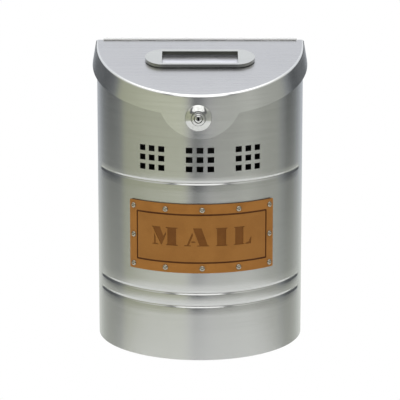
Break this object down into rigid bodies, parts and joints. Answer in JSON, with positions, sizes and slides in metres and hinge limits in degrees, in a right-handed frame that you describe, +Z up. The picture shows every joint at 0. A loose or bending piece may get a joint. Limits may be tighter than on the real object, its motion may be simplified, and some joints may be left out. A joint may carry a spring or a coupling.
{
  "type": "wall mounted mailbox",
  "caption": "D-shaped brushed steel wall mailbox with a sloping hinged lid, sprung mail slot flap, cam lock, vented front and a riveted leather label.",
  "frame": {"origin": "on the flat back face, at the middle of its width and half way up, where the back lies on the wall", "axes": "+Z up, +Y into the wall, so the mailbox faces -Y, +X to the right when facing the front"},
  "size_m": [0.271, 0.1702, 0.3783],
  "materials": {
    "brushed_steel": "satin, brushed along the sheet",
    "hinge_steel": "satin",
    "bezel_steel": "satin",
    "flap_steel": "satin",
    "plated_hardware": "zinc plated",
    "spring_steel": "oiled",
    "lock_chrome": "polished",
    "leather": "tan vegetable leather, tooled border",
    "rivet_nickel": "nickel, lightly worn"
  },
  "bodies": {
    "box": {"body_shell": "brushed_steel", "back_panel": "brushed_steel", "bottom_panel": "brushed_steel", "hinge_leaf_box": "hinge_steel", "hinge_pin": "hinge_steel", "label_plate": "leather", "label_rivet_01": "rivet_nickel", "label_rivet_02": "rivet_nickel", "label_rivet_03": "rivet_nickel", "label_rivet_04": "rivet_nickel", "label_rivet_05": "rivet_nickel", "label_rivet_06": "rivet_nickel", "label_rivet_07": "rivet_nickel", "label_rivet_08": "rivet_nickel", "label_rivet_09": "rivet_nickel", "label_rivet_10": "rivet_nickel", "label_rivet_11": "rivet_nickel", "label_rivet_12": "rivet_nickel"},
    "lid": {"lid_shell": "brushed_steel", "hinge_leaf_lid": "hinge_steel", "slot_bezel": "bezel_steel", "bezel_nut_left": "plated_hardware", "bezel_nut_right": "plated_hardware", "flap_bracket_left": "plated_hardware", "flap_bracket_right": "plated_hardware", "flap_pin": "plated_hardware", "flap_spring": "spring_steel", "lock_escutcheon": "lock_chrome", "lock_barrel": "lock_chrome", "lock_nut": "plated_hardware"},
    "flap": {"slot_flap": "flap_steel"},
    "lock": {"lock_plug": "lock_chrome", "lock_cam": "plated_hardware", "cam_screw": "plated_hardware"}
  },
  "joints": [
    {"name": "lid_hinge", "type": "hinge", "parent": "box", "child": "lid", "pos_m": [0, -0.00345, 0.18919], "axis": [-1, 0, 0], "range_deg": [0, 100]},
    {"name": "slot_flap", "type": "hinge", "parent": "lid", "child": "flap", "pos_m": [0, -0.04276, 0.17463], "axis": [1, 0, 0], "range_deg": [0, 65], "stiffness_Nm_per_rad": 0.02, "springref_deg": -45.84, "deforming": ["flap_spring"]},
    {"name": "lock_turn", "type": "hinge", "parent": "lid", "child": "lock", "pos_m": [-0.002, -0.162, 0.117], "axis": [0, 1, 0], "range_deg": [0, 90]}
  ]
}
